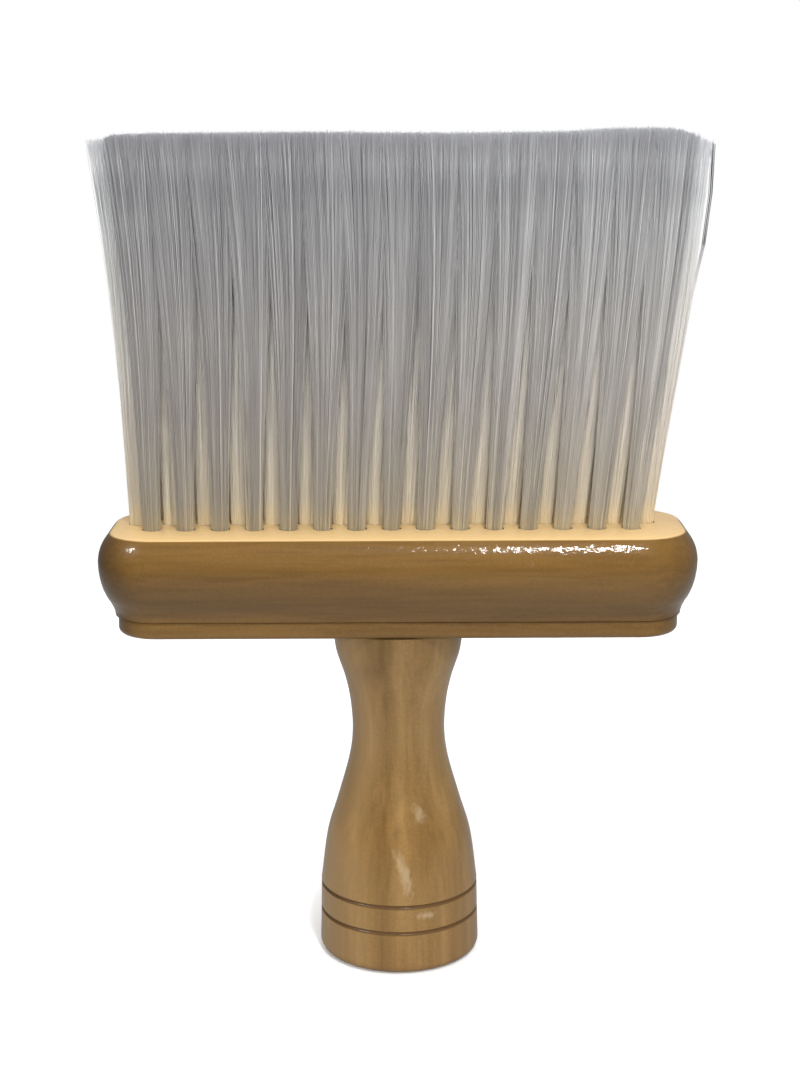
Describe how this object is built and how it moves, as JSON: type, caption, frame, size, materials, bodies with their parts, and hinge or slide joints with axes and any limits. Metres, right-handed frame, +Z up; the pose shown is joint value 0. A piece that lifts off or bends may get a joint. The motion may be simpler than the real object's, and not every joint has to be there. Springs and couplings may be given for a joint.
{
  "type": "neck duster brush",
  "caption": "Neck duster brush: a grooved, waisted turned wooden handle glued into a moulded varnished wooden block that carries staggered rows of long clear nylon tufts.",
  "frame": {"origin": "centre of the flat foot of the handle, on the surface the brush stands on", "axes": "+Z up along the handle towards the bristle tips, X along the length of the block, Y across the block"},
  "size_m": [0.14, 0.04, 0.196],
  "materials": {
    "block_wood": "gloss",
    "handle_wood": "satin",
    "nylon_bristle": "satin",
    "anchor_wire": "satin"
  },
  "bodies": {
    "root": {"brush_block": "block_wood", "handle": "handle_wood", "tuft_front_01": "nylon_bristle", "tuft_front_02": "nylon_bristle", "tuft_front_03": "nylon_bristle", "tuft_front_04": "nylon_bristle", "tuft_front_05": "nylon_bristle", "tuft_front_06": "nylon_bristle", "tuft_front_07": "nylon_bristle", "tuft_front_08": "nylon_bristle", "tuft_front_09": "nylon_bristle", "tuft_front_10": "nylon_bristle", "tuft_front_11": "nylon_bristle", "tuft_front_12": "nylon_bristle", "tuft_front_13": "nylon_bristle", "tuft_front_14": "nylon_bristle", "tuft_front_15": "nylon_bristle", "tuft_middle_01": "nylon_bristle", "tuft_middle_02": "nylon_bristle", "tuft_middle_03": "nylon_bristle", "tuft_middle_04": "nylon_bristle", "tuft_middle_05": "nylon_bristle", "tuft_middle_06": "nylon_bristle", "tuft_middle_07": "nylon_bristle", "tuft_middle_08": "nylon_bristle", "tuft_middle_09": "nylon_bristle", "tuft_middle_10": "nylon_bristle", "tuft_middle_11": "nylon_bristle", "tuft_middle_12": "nylon_bristle", "tuft_middle_13": "nylon_bristle", "tuft_middle_14": "nylon_bristle", "tuft_middle_15": "nylon_bristle", "tuft_middle_16": "nylon_bristle", "tuft_rear_01": "nylon_bristle", "tuft_rear_02": "nylon_bristle", "tuft_rear_03": "nylon_bristle", "tuft_rear_04": "nylon_bristle", "tuft_rear_05": "nylon_bristle", "tuft_rear_06": "nylon_bristle", "tuft_rear_07": "nylon_bristle", "tuft_rear_08": "nylon_bristle", "tuft_rear_09": "nylon_bristle", "tuft_rear_10": "nylon_bristle", "tuft_rear_11": "nylon_bristle", "tuft_rear_12": "nylon_bristle", "tuft_rear_13": "nylon_bristle", "tuft_rear_14": "nylon_bristle", "tuft_rear_15": "nylon_bristle"}
  },
  "joints": []
}
